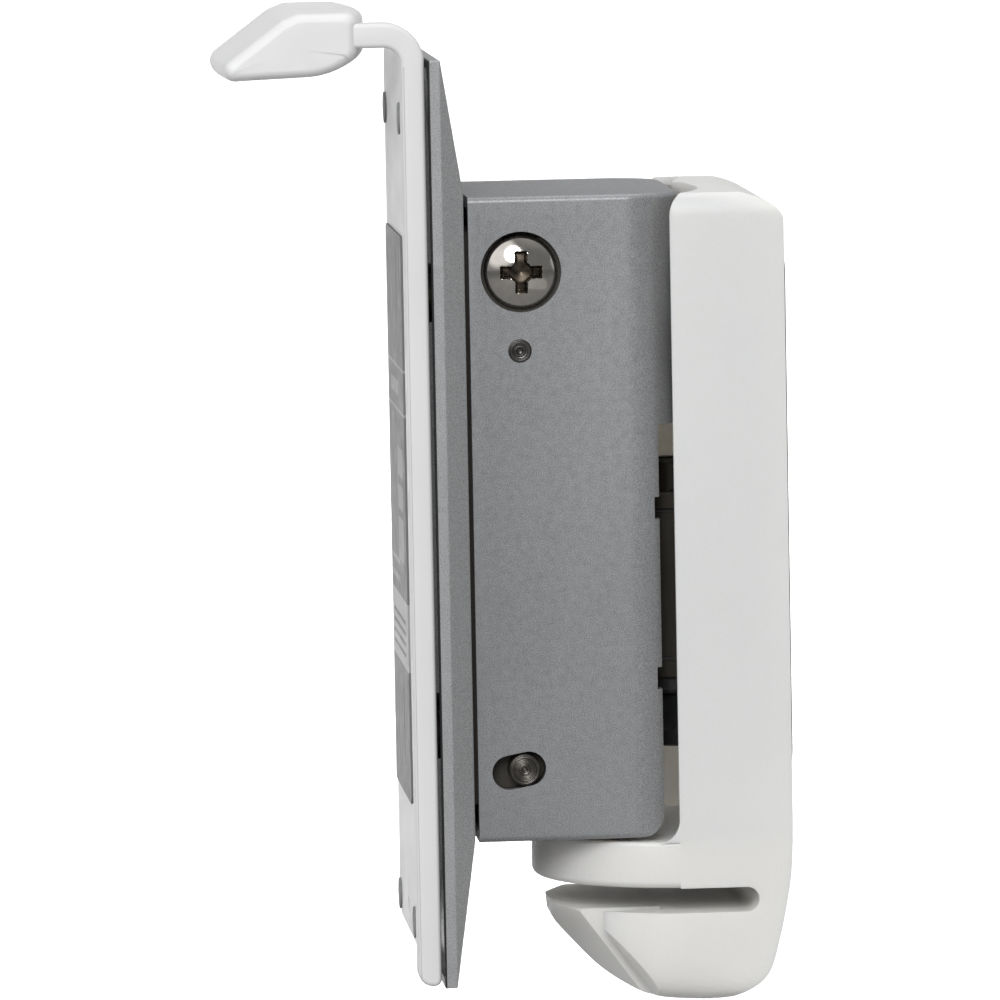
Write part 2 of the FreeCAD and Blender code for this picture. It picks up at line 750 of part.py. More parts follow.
def make_side_liners():
    """Steel plates inside the walls of the box: the clamp screws bear on them and the pin is guided."""
    wall = "box_half_width - box_wall"
    start = "liner_inner - cutter_spare"
    deep = f"{wall} - liner_inner + 2 * cutter_spare"
    plate = block("liner_sheet", "liner_inner", wall, "liner_front", "web_front - liner_slot_gap",
                  "-liner_half_height", "liner_half_height")
    half = "(screw_radius + liner_slot_gap)"
    low = "screw_height - liner_slot_down"
    high = "screw_height + liner_slot_up"
    guide = [rod(f"liner_guide{i}", "X", half, deep, start, "screw_depth", level)
             for i, level in enumerate((low, high))]
    guide.append(block("liner_guide_middle", start, f"{wall} + cutter_spare", f"screw_depth - {half}",
                       f"screw_depth + {half}", low, high))
    rivet = rod("liner_rivet_hole", "X", "rivet_radius + press_gap", deep, start, "rivet_depth", "rivet_height")
    liner = cut("side_liner", plate, *guide, rivet, guide_slot("liner_slot"))
    node(pair("side_liners", liner), "side_liners")


def make_liner_rivets():
    outer = "box_half_width + rivet_proud"
    shank = rod("liner_rivet_shank", "X", "rivet_radius", f"{outer} - liner_inner", "liner_inner", "rivet_depth",
                "rivet_height")
    dimple = rod("liner_rivet_dimple", "X", "rivet_dimple", "rivet_dimple_deep + cutter_spare",
                 f"{outer} - rivet_dimple_deep", "rivet_depth", "rivet_height")
    node(pair("liner_rivets", cut("liner_rivet", shank, dimple)), "liner_rivets")


# ---------------------------------------------------------------- tilting plate and hook

RIVET_PLACES = [(side, height) for side in ("-frame_rivet_x", "frame_rivet_x")
                for height in ("-frame_rivet_z", "frame_rivet_z")]


def make_tilt_frame():
    half = "frame_half_width"
    outer = block("frame_outer", f"-{half}", half, "tray_back", "frame_rear", "-frame_half_height",
                  "frame_half_height")
    room = block("frame_room", f"-{half} + frame_sheet", f"{half} - frame_sheet", "tray_back + frame_sheet",
                 "frame_rear + 1", "-frame_half_height - 1", "frame_half_height + 1")
    tools = [room]
    span = f"2 * {half} + 2"
    left = f"-{half} - 1"
    tools.append(rod("frame_screw_holes", "X", "screw_radius + press_gap", span, left, "screw_depth", "screw_height"))
    tools.append(rod("frame_pin_holes", "X", "pin_radius + press_gap", span, left, "pin_depth", "pin_height"))
    for i, (side, height) in enumerate(RIVET_PLACES):
        tools.append(rod(f"frame_rivet_hole{i}", "Y", "frame_rivet_radius + press_gap",
                         "frame_sheet + 2 * cutter_spare", side, "tray_back - cutter_spare", height))
    node(cut("tilt_frame", outer, *tools), "tilt_frame")


def make_tilt_screws():
    """Pan head screws with a cross recess: each head sits free in its oversize hole in the box."""
    shank = rod("tilt_screw_shank", "X", "screw_radius", "head_seat - screw_tip", "screw_tip", "screw_depth",
                "screw_height")
    collar = rod("tilt_screw_collar", "X", "head_radius", "head_tall", "head_seat", "screw_depth", "screw_height")
    dome = doc.addObject("Part::Sphere", "tilt_screw_dome")
    bind(dome, "Radius", "head_dome")
    place(dome, "head_seat + head_tall - head_dome", "screw_depth", "screw_height")
    head = common("tilt_screw_head", collar, dome)
    arms = []
    for i, (wide, tall) in enumerate((("recess_wide", "recess_narrow"), ("recess_narrow", "recess_wide"))):
        arms.append(block(f"tilt_screw_arm{i}", "head_seat + recess_floor", "head_seat + head_tall + cutter_spare",
                          f"screw_depth - {wide} / 2", f"screw_depth + {wide} / 2",
                          f"screw_height - {tall} / 2", f"screw_height + {tall} / 2"))
    screw = cut("tilt_screw", fuse("tilt_screw_solid", shank, head), *arms)
    node(pair("tilt_screws", screw), "tilt_screws")


def make_weld_nuts():
    inside = "frame_half_width - frame_sheet"
    nut = doc.addObject("Part::Prism", "weld_nut_hex")
    nut.Polygon = 6
    bind(nut, "Circumradius", "weld_nut_radius")
    bind(nut, "Height", "weld_nut_tall")
    nut.Placement.Rotation = AXIS_TURNS["X"]
    place(nut, f"{inside} - weld_nut_tall", "screw_depth", "screw_height")
    bore = rod("weld_nut_bore", "X", "screw_radius + press_gap", "weld_nut_tall + 2 * cutter_spare",
               f"{inside} - weld_nut_tall - cutter_spare", "screw_depth", "screw_height")
    node(pair("weld_nuts", cut("weld_nut", nut, bore)), "weld_nuts")


def make_cross_pin():
    reach = "box_half_width + 0.5"
    pin = rod("cross_pin_rod", "X", "pin_radius", f"2 * ({reach})", f"-({reach})", "pin_depth", "pin_height")
    node(pin, "cross_pin")
    clip = tube("pin_clip", "X", "clip_ring_radius", "pin_radius + press_gap", "clip_ring_tall",
                "frame_half_width - frame_sheet - clip_ring_tall - 2 * running_gap", "pin_depth", "pin_height")
    node(pair("pin_clips", clip), "pin_clips")


def tray_form(label, inset, front, back):
    """A flat dish: a straight rim and a sloped wall that narrows to the back face."""
    made = body(label)
    levels = (
        (front, f"tray_half_width - {inset}", f"tray_bottom + {inset}", f"tray_top - {inset}"),
        ("tray_ridge", f"tray_half_width - {inset}", f"tray_bottom + {inset}", f"tray_top - {inset}"),
        (back, f"tray_back_half_width - {inset}", f"tray_back_bottom + {inset}", f"tray_back_top - {inset}"),
    )
    drawings = []
    for depth, half, low, high in levels:
        drawing = sketch(made, "XZ", f"-({depth})")
        draw_outline(drawing, rectangle(f"-({half})", half, low, high))
        drawings.append(drawing)
    doc.recompute()
    loft = made.newObject("PartDesign::AdditiveLoft", f"{label}_loft")
    loft.Profile = drawings[0]
    loft.Sections = drawings[1:]
    loft.Ruled = True
    doc.recompute()
    return made


def make_back_tray():
    outer = tray_form("tray_outer", 0, "tray_front", "tray_back")
    inner = tray_form("tray_inner", "tray_sheet", "tray_front - 1", "tray_back - tray_sheet")
    holes = [rod(f"tray_hole{i}", "Y", "frame_rivet_radius + press_gap", "tray_sheet + 2 * cutter_spare", side,
                 "tray_back - tray_sheet - cutter_spare", height)
             for i, (side, height) in enumerate(RIVET_PLACES)]
    node(cut("back_tray", outer, inner, *holes), "back_tray")


def make_plate_studs():
    studs = []
    rivets = []
    inner = "tray_back - tray_sheet"
    for i, (side, height) in enumerate(RIVET_PLACES):
        studs.append(tube(f"plate_stud{i}", "Y", "stud_radius", "frame_rivet_radius + press_gap",
                          f"{inner} - front_back", side, "front_back", height))
        start = "front_back + frame_rivet_sunk"
        shank = rod(f"frame_rivet_shank{i}", "Y", "frame_rivet_radius", f"tray_back + frame_sheet - ({start})", side,
                    start, height)
        head = rod(f"frame_rivet_top{i}", "Y", "frame_rivet_head", "frame_rivet_head_tall", side,
                   "tray_back + frame_sheet", height)
        rivets.append(fuse(f"frame_rivet{i}", shank, head))
    node(group("plate_studs", *studs), "plate_studs")
    node(group("frame_rivets", *rivets), "frame_rivets")


def make_hook_plate():
    plate = prism("front_plate", "XZ", rectangle("front_left", "front_right", "front_bottom", "front_top"),
                  "-front_back", "front_back - front_face")
    left = number("front_left")
    round_edges(plate, "front_corner", lambda edge, middle: along(edge, 1) and abs(middle.x - left) < 0.01)
    hole = rod("front_hole", "Y", "front_hole_radius", "front_back - front_face + 2 * cutter_spare", 0,
               "front_face - cutter_spare", "front_hole_height")
    groove = block("front_groove", "-groove_half_width", "groove_half_width", "front_face - cutter_spare",
                   "front_face + groove_deep", "groove_low", "groove_high")
    node(cut("hook_plate", plate, hole, groove), "hook_plate")


def make_hook_bar():
    """A flat bar beside the plate that bends forward over it, with a crosswise core for the soft pad."""
    bar = prism("hook_bar_strip", "YZ", [
        ("front_back", "bar_bottom"), ("front_back", "arm_over"), ("core_front", "arm_over"),
        ("core_front", "arm_under"), ("bar_front", "arm_under"), ("bar_front", "bar_bottom")],
        "bar_left", "bar_right - bar_left")
    back = number("front_back")
    front = number("bar_front")
    bottom = number("bar_bottom")
    round_edges(bar, "hook_outer",
                lambda edge, middle: along(edge, 0) and abs(middle.y - back) < 0.01 and middle.z > 0)
    round_edges(bar, "hook_inner",
                lambda edge, middle: along(edge, 0) and abs(middle.y - front) < 0.01 and middle.z > 0)
    for radius, depth in (("bar_toe_front", front), ("bar_toe_back", back)):
        round_edges(bar, radius, lambda edge, middle: (along(edge, 0) and abs(middle.z - bottom) < 0.01
                                                       and abs(middle.y - depth) < 0.01))
    core = block("hook_core", "core_left", "bar_right", "core_front", "core_rear", "arm_under", "arm_over")
    return fuse("hook_bar", bar, core)


# The side outline of the soft pad, as depth and height: a wedge whose nose points forward.
PAD_OUTLINE = [(-91.6, 75.2), (-81.8, 82.4), (-79.0, 83.4), (-70.2, 83.4), (-69.8, 77.0), (-72.8, 74.2),
               (-75.6, 73.3), (-89.8, 72.8)]


def make_hook_pad(hook_bar):
    """The soft cap on the hook: a wedge-nosed pad moulded over the core."""
    pad_body = prism("pad_form", "YZ", PAD_OUTLINE, 0, "2 * pad_half_width", symmetric=True)
    half = number("pad_half_width")
    round_edges(pad_body, "pad_edge", lambda edge, middle: abs(abs(middle.x) - half) < 0.01)
    node(cut("hook_pad", pad_body, hook_bar), "hook_pad")


def make_face_details():
    label = prism("face_label_form", "XZ", rectangle("label_left", "label_right", "label_bottom", "label_top"),
                  "-front_face", "label_thick")
    round_edges(label, "label_corner", lambda edge, middle: along(edge, 1))
    node(label, "face_label")
    bumpers = [rod(f"{side}_{height}", "Y", "bumper_radius", "bumper_tall", side, "front_face - bumper_tall", height)
               for side in ("bumper_left", "bumper_right") for height in ("bumper_low", "bumper_high")]
    node(group("bumper_pads", *bumpers), "bumper_pads")


def check_and_write():
    doc.recompute()
    for item in doc.Objects:
        faults = [state for state in item.State if state in ("Invalid", "Error")]
        if faults:
            raise RuntimeError(f"{item.Label} did not compute: {faults}")
    os.makedirs("parts", exist_ok=True)
    for item in NODES:
        shape = item.Shape
        if shape.isNull() or not shape.isValid() or not shape.Solids:
            raise RuntimeError(f"{item.Label} has no valid solid")
        shape.exportStep(f"parts/{item.Label}.step")
        print(f"{item.Label}: {len(shape.Solids)} solid(s), {shape.Volume:.0f} mm3")


make_wall_plate()
make_swivel_stack()
make_cover_clips()
make_wall_cover()
make_swivel_housing()
make_rear_web()
make_swivel_block()
make_block_screws()
make_side_liners()
make_liner_rivets()
make_tilt_frame()
make_tilt_screws()
make_weld_nuts()
make_cross_pin()
make_back_tray()
make_plate_studs()
make_hook_plate()
hook = node(make_hook_bar(), "hook_bar")
make_hook_pad(hook)
make_face_details()
check_and_write()
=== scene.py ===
import json
import math
import bmesh
import bpy
from mathutils import Matrix, Vector


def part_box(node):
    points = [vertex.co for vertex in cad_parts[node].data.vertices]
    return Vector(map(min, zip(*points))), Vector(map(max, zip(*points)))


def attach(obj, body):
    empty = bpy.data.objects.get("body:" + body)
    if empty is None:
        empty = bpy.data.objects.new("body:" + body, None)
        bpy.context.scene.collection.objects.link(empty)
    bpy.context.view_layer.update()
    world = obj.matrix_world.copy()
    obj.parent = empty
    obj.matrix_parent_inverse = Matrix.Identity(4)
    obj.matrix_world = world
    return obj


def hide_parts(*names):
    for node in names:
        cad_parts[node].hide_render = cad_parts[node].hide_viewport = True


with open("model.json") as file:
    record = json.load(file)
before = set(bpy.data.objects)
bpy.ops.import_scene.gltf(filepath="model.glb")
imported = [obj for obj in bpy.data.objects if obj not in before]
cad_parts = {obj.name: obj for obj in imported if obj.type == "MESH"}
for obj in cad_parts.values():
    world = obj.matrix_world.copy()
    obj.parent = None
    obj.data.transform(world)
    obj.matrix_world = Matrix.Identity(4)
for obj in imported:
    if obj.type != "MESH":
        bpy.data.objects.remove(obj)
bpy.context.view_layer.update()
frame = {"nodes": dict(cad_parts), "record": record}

# The bracket in its row frame: +Z is up, the wall is at Y = 0 and the plate faces -Y. Sizes below are in
# millimetres and become metres when a mesh is made.
MM = 0.001
RECORD = frame["record"]
NODE_BODY = {node: body for body, nodes in RECORD["behaviour"]["bodies"].items() for node in nodes}
NODE_SLOT = {part["node"]: part["material_slot"] for part in RECORD["subparts"]}

# ---------------------------------------------------------------- camera
AIM = Vector((22.0, -47.73, 3.41)) * MM
AZIMUTH = math.radians(4.375)
ELEVATION = math.radians(5.526)
ROLL = math.radians(-1.086)
DISTANCE = 1.4845
SENSOR = 36.0
LENS = 9.0942 * SENSOR


def make_camera():
    camera = bpy.data.objects.new("camera", bpy.data.cameras.new("camera"))
    bpy.context.collection.objects.link(camera)
    camera.data.sensor_width = SENSOR
    camera.data.lens = LENS
    camera.data.clip_start = 0.1
    camera.data.clip_end = 60.0
    look = Vector((-math.cos(ELEVATION) * math.cos(AZIMUTH), math.cos(ELEVATION) * math.sin(AZIMUTH),
                   -math.sin(ELEVATION)))
    turn = look.to_track_quat("-Z", "Y").to_matrix() @ Matrix.Rotation(ROLL, 3, "Z")
    camera.matrix_world = Matrix.Translation(AIM - look * DISTANCE) @ turn.to_4x4()
    bpy.context.scene.camera = camera


# ---------------------------------------------------------------- shader helpers

# half width in metres of the soft edge of a printed mark or of the line of painted shade along the bar
BAND_SOFT = 0.00003


class Shader:
    """A material whose nodes are added one call at a time; a value may be a number or another socket."""

    def __init__(self, name):
        self.material = bpy.data.materials.new(name)
        self.material.use_nodes = True
        self.tree = self.material.node_tree
        self.surface = self.tree.nodes["Principled BSDF"]
        self.where = self.tree.nodes.new("ShaderNodeTexCoord").outputs["Object"]

    def feed(self, socket, value):
        if isinstance(value, bpy.types.NodeSocket):
            self.tree.links.new(value, socket)
        else:
            socket.default_value = value

    def add(self, kind, inputs, **options):
        node = self.tree.nodes.new(kind)
        for key, value in options.items():
            setattr(node, key, value)
        for key, value in inputs.items():
            self.feed(node.inputs[key], value)
        return node

    def math(self, operation, first, second=0.0):
        return self.add("ShaderNodeMath", {0: first, 1: second}, operation=operation).outputs[0]

    def noise(self, scale, detail=3.0, stretch=(1, 1, 1), roughness=0.5):
        moved = self.add("ShaderNodeMapping", {"Vector": self.where, "Scale": stretch}).outputs[0]
        node = self.add("ShaderNodeTexNoise", {"Vector": moved, "Scale": scale, "Detail": detail,
                                               "Roughness": roughness})
        return node.outputs["Fac"]

    def spread(self, factor, low, high, start=0.3, end=0.7):
        """The factor, which lies near the middle of 0 to 1, spread over low to high."""
        node = self.add("ShaderNodeMapRange", {"Value": factor, "From Min": start, "From Max": end,
                                               "To Min": low, "To Max": high})
        return node.outputs[0]

    def blend(self, factor, first, second):
        node = self.add("ShaderNodeMix", {"Factor": factor}, data_type="RGBA")
        colours = [socket for socket in node.inputs if socket.type == "RGBA"]
        for socket, value in zip(colours, (first, second)):
            self.feed(socket, value)
        return [socket for socket in node.outputs if socket.type == "RGBA"][0]

    def bump(self, height, distance, flake_and_light_tone):
        inputs = {"Height": height, "Distance": distance, "Strength": flake_and_light_tone}
        return self.add("ShaderNodeBump", inputs).outputs[0]

    def axis(self, letter):
        parts = self.add("ShaderNodeSeparateXYZ", {"Vector": self.where})
        return parts.outputs[letter]

    def band(self, coordinate, middle, half):
        """1 where a coordinate is within half of middle, with a soft edge."""
        away = self.math("ABSOLUTE", self.math("SUBTRACT", coordinate, middle))
        return self.spread(away, 1.0, 0.0, half - BAND_SOFT, half + BAND_SOFT)

    def finish(self, colour, roughness, normal, **uniform):
        self.feed(self.surface.inputs["Base Color"], colour)
        self.feed(self.surface.inputs["Roughness"], roughness)
        self.feed(self.surface.inputs["Normal"], normal)
        for key, value in uniform.items():
            self.surface.inputs[key.replace("_", " ")].default_value = value
        return self.material


def shade(colour, factor):
    return tuple(min(1.0, channel * factor) for channel in colour) + (1.0,)


def moulded(name, colour, rough, change=0.05, grain=2600.0, depth=0.00002, **uniform):
    """Moulded or coated surface: cloudy tone, fine grain and uneven gloss."""
    s = Shader(name)
    cloud = s.spread(s.noise(38.0, 4.0), 0.0, 1.0)
    fleck = s.spread(s.noise(grain, 2.0), 0.0, 1.0)
    tone = s.math("ADD", s.math("MULTIPLY", cloud, 0.55), s.math("MULTIPLY", fleck, 0.45))
    base = s.blend(tone, shade(colour, 1 - change), shade(colour, 1 + change))
    gloss = s.spread(s.noise(160.0, 3.0), rough - 0.06, rough + 0.06)
    return s.finish(base, gloss, s.bump(fleck, depth, 0.6), **uniform)


# satin flake paint: gloss, how far a flake's tone strays, size of the flakes, and how metallic it is
FLAKE_ROUGH = 0.42
FLAKE_CHANGE = 0.26
FLAKE_GRAIN = 5000.0
FLAKE_METAL = 0.55


def flake_paint(name, colour, light_ramp=((-58.0, 1.0), (-20.0, 1.0)), gap_shade_depth=None):
    """Satin metallic paint with light and dark flakes. Its brightness is scaled by factors given at two
    depths, ramping between them: painted light and shade across the part. In front of a given depth the paint
    is near black: painted shade in a narrow gap."""
    s = Shader(name)
    cloud = s.spread(s.noise(30.0, 3.0), 0.0, 1.0)
    base = s.blend(cloud, shade(colour, 0.96), shade(colour, 1.04))
    flakes = s.noise(FLAKE_GRAIN, 2.0, roughness=0.6)
    tone = s.spread(flakes, 1.0 - FLAKE_CHANGE, 1.0 + FLAKE_CHANGE, 0.35, 0.65)
    (first_depth, first), (last_depth, last) = light_ramp
    # painted light: the paint's brightness ramps between the two given depths
    painted_light = s.spread(s.axis("Y"), first, last, first_depth * MM, last_depth * MM)
    flake_and_light_tone = s.math("MULTIPLY", tone, painted_light)
    base = s.add("ShaderNodeVectorMath", {0: base, 3: flake_and_light_tone}, operation="SCALE").outputs[0]
    if gap_shade_depth is not None:
        # painted shade: near-black paint in front of the given depth stands in for the shade in the gap
        base = s.blend(s.math("LESS_THAN", s.axis("Y"), gap_shade_depth * MM), base, shade(colour, 0.06))
    gloss = s.spread(s.noise(900.0, 3.0), FLAKE_ROUGH - 0.07, FLAKE_ROUGH + 0.07)
    normal = s.bump(s.noise(3200.0, 2.0), 0.00002, 0.5)
    return s.finish(base, gloss, normal, Metallic=FLAKE_METAL)


def metal(name, colour, rough, stretch=(1, 1, 1), scale=900.0, depth=0.00001, level=1.0):
    """Plated or brushed metal; a long stretch turns the grain into brush lines."""
    s = Shader(name)
    lines = s.spread(s.noise(scale, 3.0, stretch), 0.0, 1.0)
    stain = s.spread(s.noise(70.0, 4.0), 0.0, 1.0)
    tone = s.math("ADD", s.math("MULTIPLY", lines, 0.5), s.math("MULTIPLY", stain, 0.5))
    base = s.blend(tone, shade(colour, 0.88), shade(colour, 1.12))
    gloss = s.spread(s.noise(scale / 3, 2.0, stretch), rough - 0.08, rough + 0.08)
    return s.finish(base, gloss, s.bump(lines, depth, 0.5), Metallic=level)


RING_PITCH = 0.00022


def turned(name, colour, rough, depth_mm, height_mm, groove):
    """Lathe-turned metal: fine rings about an axis along X."""
    s = Shader(name)
    offset = s.add("ShaderNodeVectorMath", {0: s.where, 1: (0.0, -depth_mm * MM, -height_mm * MM)},
                   operation="ADD").outputs[0]
    flat = s.add("ShaderNodeVectorMath", {0: offset, 1: (0.0, 1.0, 1.0)}, operation="MULTIPLY").outputs[0]
    radius = s.add("ShaderNodeVectorMath", {0: flat}, operation="LENGTH").outputs["Value"]
    wave = s.math("SINE", s.math("MULTIPLY", radius, 2 * math.pi / RING_PITCH))
    stain = s.spread(s.noise(400.0, 3.0), 0.0, 1.0)
    base = s.blend(stain, shade(colour, 0.8), shade(colour, 1.15))
    gloss = s.spread(s.noise(600.0, 2.0), rough - 0.06, rough + 0.08)
    return s.finish(base, gloss, s.bump(wave, groove, 0.7), Metallic=1.0)


# ---------------------------------------------------------------- materials

SCREW_DEPTH = -43.6
SCREW_HEIGHT = 40.6
SCREW_SEAT = 20.05
HEAD_RADIUS = 6.0
HEAD_TALL = 2.98
HEAD_DOME = 11.0
RECESS_REACH = 3.8
RIVET_DEPTH = -44.0
RIVET_HEIGHT = 27.7
PIN_DEPTH = -44.5
PIN_HEIGHT = -41.05
SWIVEL_DEPTH = -17.8
# depth up to which the tray's front rim is painted near black, as painted shade in the gap behind the bar
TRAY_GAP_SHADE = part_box("back_tray")[0][1] / MM + 0.3


def nickel_screw():
    """Bright nickel; the cross recess is painted near black as shade and is rougher."""
    s = Shader("screw_chrome")
    across = s.math("ADD", s.axis("Y"), -SCREW_DEPTH * MM)
    up = s.math("ADD", s.axis("Z"), -SCREW_HEIGHT * MM)
    squared = s.math("ADD", s.math("MULTIPLY", across, across), s.math("MULTIPLY", up, up))
    dome = s.math("SUBTRACT", (SCREW_SEAT + HEAD_TALL) * MM, s.math("DIVIDE", squared, 2 * HEAD_DOME * MM))
    sunk = s.math("SUBTRACT", dome, s.math("ABSOLUTE", s.axis("X")))
    near = s.math("LESS_THAN", squared, (RECESS_REACH * MM) ** 2)
    shaded_recess = s.math("MULTIPLY", s.spread(sunk, 0.0, 1.0, 0.0002, 0.0009), near)
    stain = s.spread(s.noise(900.0, 4.0), 0.0, 1.0)
    base = s.blend(stain, (0.37, 0.352, 0.325, 1.0), (0.42, 0.402, 0.375, 1.0))
    # painted shade: the cross recess is coloured near black
    base = s.blend(shaded_recess, base, s.blend(stain, (0.02, 0.016, 0.012, 1.0), (0.11, 0.09, 0.07, 1.0)))
    gloss = s.math("ADD", s.spread(s.noise(500.0, 3.0), 0.07, 0.12), s.math("MULTIPLY", shaded_recess, 0.25))
    return s.finish(base, gloss, s.bump(stain, 0.000003, 0.5), Metallic=1.0)


WHITE_COAT = (0.69, 0.69, 0.69)
# the line along the side of the bar, a groove darkened with painted shade for the gap between plate and bar:
# its depth, the side of the bar it is on, and the height where it stops
BAR_LINE = -62.25
BAR_SIDE = 23.55
BAR_LINE_TOP = 74.5


def white_coat():
    """Satin powder coat; along the side of the bar a fine groove, darkened with painted shade for the gap
    between plate and bar.
    """
    s = Shader("white_paint")
    cloud = s.spread(s.noise(34.0, 4.0), 0.0, 1.0)
    peel = s.noise(1500.0, 2.0)
    base = s.blend(cloud, shade(WHITE_COAT, 0.975), shade(WHITE_COAT, 1.025))
    side = s.math("GREATER_THAN", s.axis("X"), BAR_SIDE * MM)
    low = s.math("LESS_THAN", s.axis("Z"), BAR_LINE_TOP * MM)
    gap_shade_line = s.math("MULTIPLY", s.band(s.axis("Y"), BAR_LINE * MM, 0.00007), s.math("MULTIPLY", side, low))
    # painted shade: the gap line along the side of the bar is darkened
    base = s.blend(s.math("MULTIPLY", gap_shade_line, 0.55), base, shade(WHITE_COAT, 0.45))
    gloss = s.spread(s.noise(220.0, 3.0), 0.36, 0.5)
    height = s.math("SUBTRACT", s.math("MULTIPLY", peel, 0.35), gap_shade_line)
    return s.finish(base, gloss, s.bump(height, 0.00004, 0.6))


LABEL_GREY = (0.155, 0.155, 0.155)
# marks of the printed film, by tone: middle X, middle Z, half width, half height
LABEL_LIGHT = [(-1.2, 24.3, 18.3, 0.25), (-1.2, 17.0, 18.3, 0.25), (-4.0, 20.6, 9.0, 1.2),
               (5.5, 8.5, 6.0, 2.4), (5.5, 2.6, 6.0, 2.0), (5.5, -4.4, 6.0, 3.6),
               (-8.0, -11.5, 9.0, 0.55), (-8.0, -8.6, 9.0, 0.4)]
LABEL_PALE = [(-1.2, -19.6, 18.2, 5.6)]
LABEL_DARK = [(4.5, 38.0, 1.1, 6.5), (4.5, -35.5, 1.1, 6.5)]
LABEL_DARK += [(-2.0, -17.6 - 1.8 * row, 14.0, 0.35) for row in range(4)]


def label_film():
    """Printed grey film with plain blocks and lines instead of any lettering."""
    s = Shader("grey_label")
    across = s.axis("X")
    up = s.axis("Z")
    cloud = s.spread(s.noise(60.0, 4.0), 0.0, 1.0)
    grain = s.spread(s.noise(2400.0, 2.0), 0.0, 1.0)
    base = s.blend(cloud, shade(LABEL_GREY, 0.94), shade(LABEL_GREY, 1.06))
    base = s.blend(s.math("MULTIPLY", grain, 0.2), base, shade(LABEL_GREY, 0.8))
    for marks, tone, amount in ((LABEL_PALE, 3.3, 0.85), (LABEL_LIGHT, 2.3, 0.7), (LABEL_DARK, 0.35, 0.8)):
        for x, z, half_x, half_z in marks:
            column = s.band(across, x * MM, half_x * MM)
            mask = s.math("MULTIPLY", column, s.band(up, z * MM, half_z * MM))
            base = s.blend(s.math("MULTIPLY", mask, amount), base, shade(LABEL_GREY, tone))
    gloss = s.spread(s.noise(300.0, 3.0), 0.42, 0.58)
    return s.finish(base, gloss, s.bump(grain, 0.00001, 0.5))


def soft_pad():
    s = Shader("soft_white")
    cloud = s.spread(s.noise(45.0, 4.0), 0.0, 1.0)
    grain = s.noise(1300.0, 3.0)
    base = s.blend(cloud, (0.70, 0.70, 0.705, 1.0), (0.75, 0.75, 0.75, 1.0))
    gloss = s.spread(s.noise(180.0, 3.0), 0.42, 0.56)
    return s.finish(base, gloss, s.bump(grain, 0.00003, 0.4), Subsurface_Weight=0.35,
                    Subsurface_Radius=(1.0, 0.95, 0.9), Subsurface_Scale=0.0025, Sheen_Weight=0.08)


def make_materials():
    return {
        "white_plastic": moulded("white_plastic", (0.72, 0.713, 0.692), 0.5, 0.02, 2200.0, 0.00002,
                                 Subsurface_Weight=0.5, Subsurface_Radius=(1.0, 0.9, 0.75),
                                 Subsurface_Scale=0.006),
        "white_paint": white_coat(),
        "soft_white": soft_pad(),
        "grey_label": label_film(),
        "bumper_grey": moulded("bumper_grey", (0.2, 0.205, 0.21), 0.6, 0.1, 1800.0, 0.00003),
        # painted light: the housing's grey paint is darker towards the front and lighter towards the rear
        "grey_paint": flake_paint("grey_paint", (0.27, 0.275, 0.284), light_ramp=((-56.0, 0.88), (-28.0, 1.12))),
        # painted shade: the tray's front rim is near black where it shows in the gap behind the bar
        "tray_paint": flake_paint("tray_paint", (0.37, 0.375, 0.38), gap_shade_depth=TRAY_GAP_SHADE),
        "zinc_steel": metal("zinc_steel", (0.062, 0.056, 0.048), 0.55, (1, 1, 0.08), 1400.0, level=0.7),
        "black_steel": metal("black_steel", (0.055, 0.055, 0.06), 0.4, scale=1500.0, level=0.7),
        "black_nylon": moulded("black_nylon", (0.04, 0.04, 0.042), 0.55, 0.15),
        "spring_steel": metal("spring_steel", (0.42, 0.42, 0.43), 0.32, (0.1, 1, 1), 1600.0),
        "bush_bronze": metal("bush_bronze", (0.52, 0.36, 0.2), 0.45, scale=1800.0, depth=0.00003),
        "screw_chrome": nickel_screw(),
        "rivet_steel": turned("rivet_steel", (0.1, 0.096, 0.092), 0.3, RIVET_DEPTH, RIVET_HEIGHT, 0.00001),
        "pin_steel": turned("pin_steel", (0.1, 0.092, 0.085), 0.3, PIN_DEPTH, PIN_HEIGHT, 0.00003),
    }


# ---------------------------------------------------------------- mesh helpers

def new_piece(name, points, faces, node, sharp):
    """A piece made from points in millimetres; it stands for the CAD node and rides on that node's body."""
    mesh = bpy.data.meshes.new(name)
    mesh.from_pydata([Vector(point) * MM for point in points], [], faces)
    mesh.validate()
    shape = bmesh.new()
    shape.from_mesh(mesh)
    bmesh.ops.recalc_face_normals(shape, faces=shape.faces)
    shape.to_mesh(mesh)
    shape.free()
    for polygon in mesh.polygons:
        polygon.use_smooth = True
    mesh.set_sharp_from_angle(angle=math.radians(sharp))
    mesh.materials.append(MATERIALS[NODE_SLOT[node]])
    piece = bpy.data.objects.new(name, mesh)
    bpy.context.collection.objects.link(piece)
    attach(piece, NODE_BODY[node])
    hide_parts(node)
    return piece


# an edge whose faces meet at more than this angle, in degrees, is softened
SOFT_ANGLE = 25.0
FLAT_ANGLE = 0.6


def refined(node, width):
    """The CAD node's own shape with its sharp edges softened."""
    shape = bmesh.new()
    shape.from_mesh(frame["nodes"][node].data)
    bmesh.ops.remove_doubles(shape, verts=shape.verts, dist=1e-6)
    bmesh.ops.dissolve_limit(shape, angle_limit=math.radians(FLAT_ANGLE), verts=shape.verts,
                             edges=shape.edges, use_dissolve_boundaries=False)
    points = [vert.co / MM for vert in shape.verts]
    for i, vert in enumerate(shape.verts):
        vert.index = i
    faces = [[vert.index for vert in face.verts] for face in shape.faces]
    shape.free()
    piece = new_piece(f"{node}_skin", points, faces, node, SOFT_ANGLE)
    bevel = piece.modifiers.new("soft_edges", "BEVEL")
    bevel.width = width * MM
    bevel.segments = 3
    bevel.limit_method = "ANGLE"
    bevel.angle_limit = math.radians(SOFT_ANGLE)
    bevel.harden_normals = True
    bevel.use_clamp_overlap = True


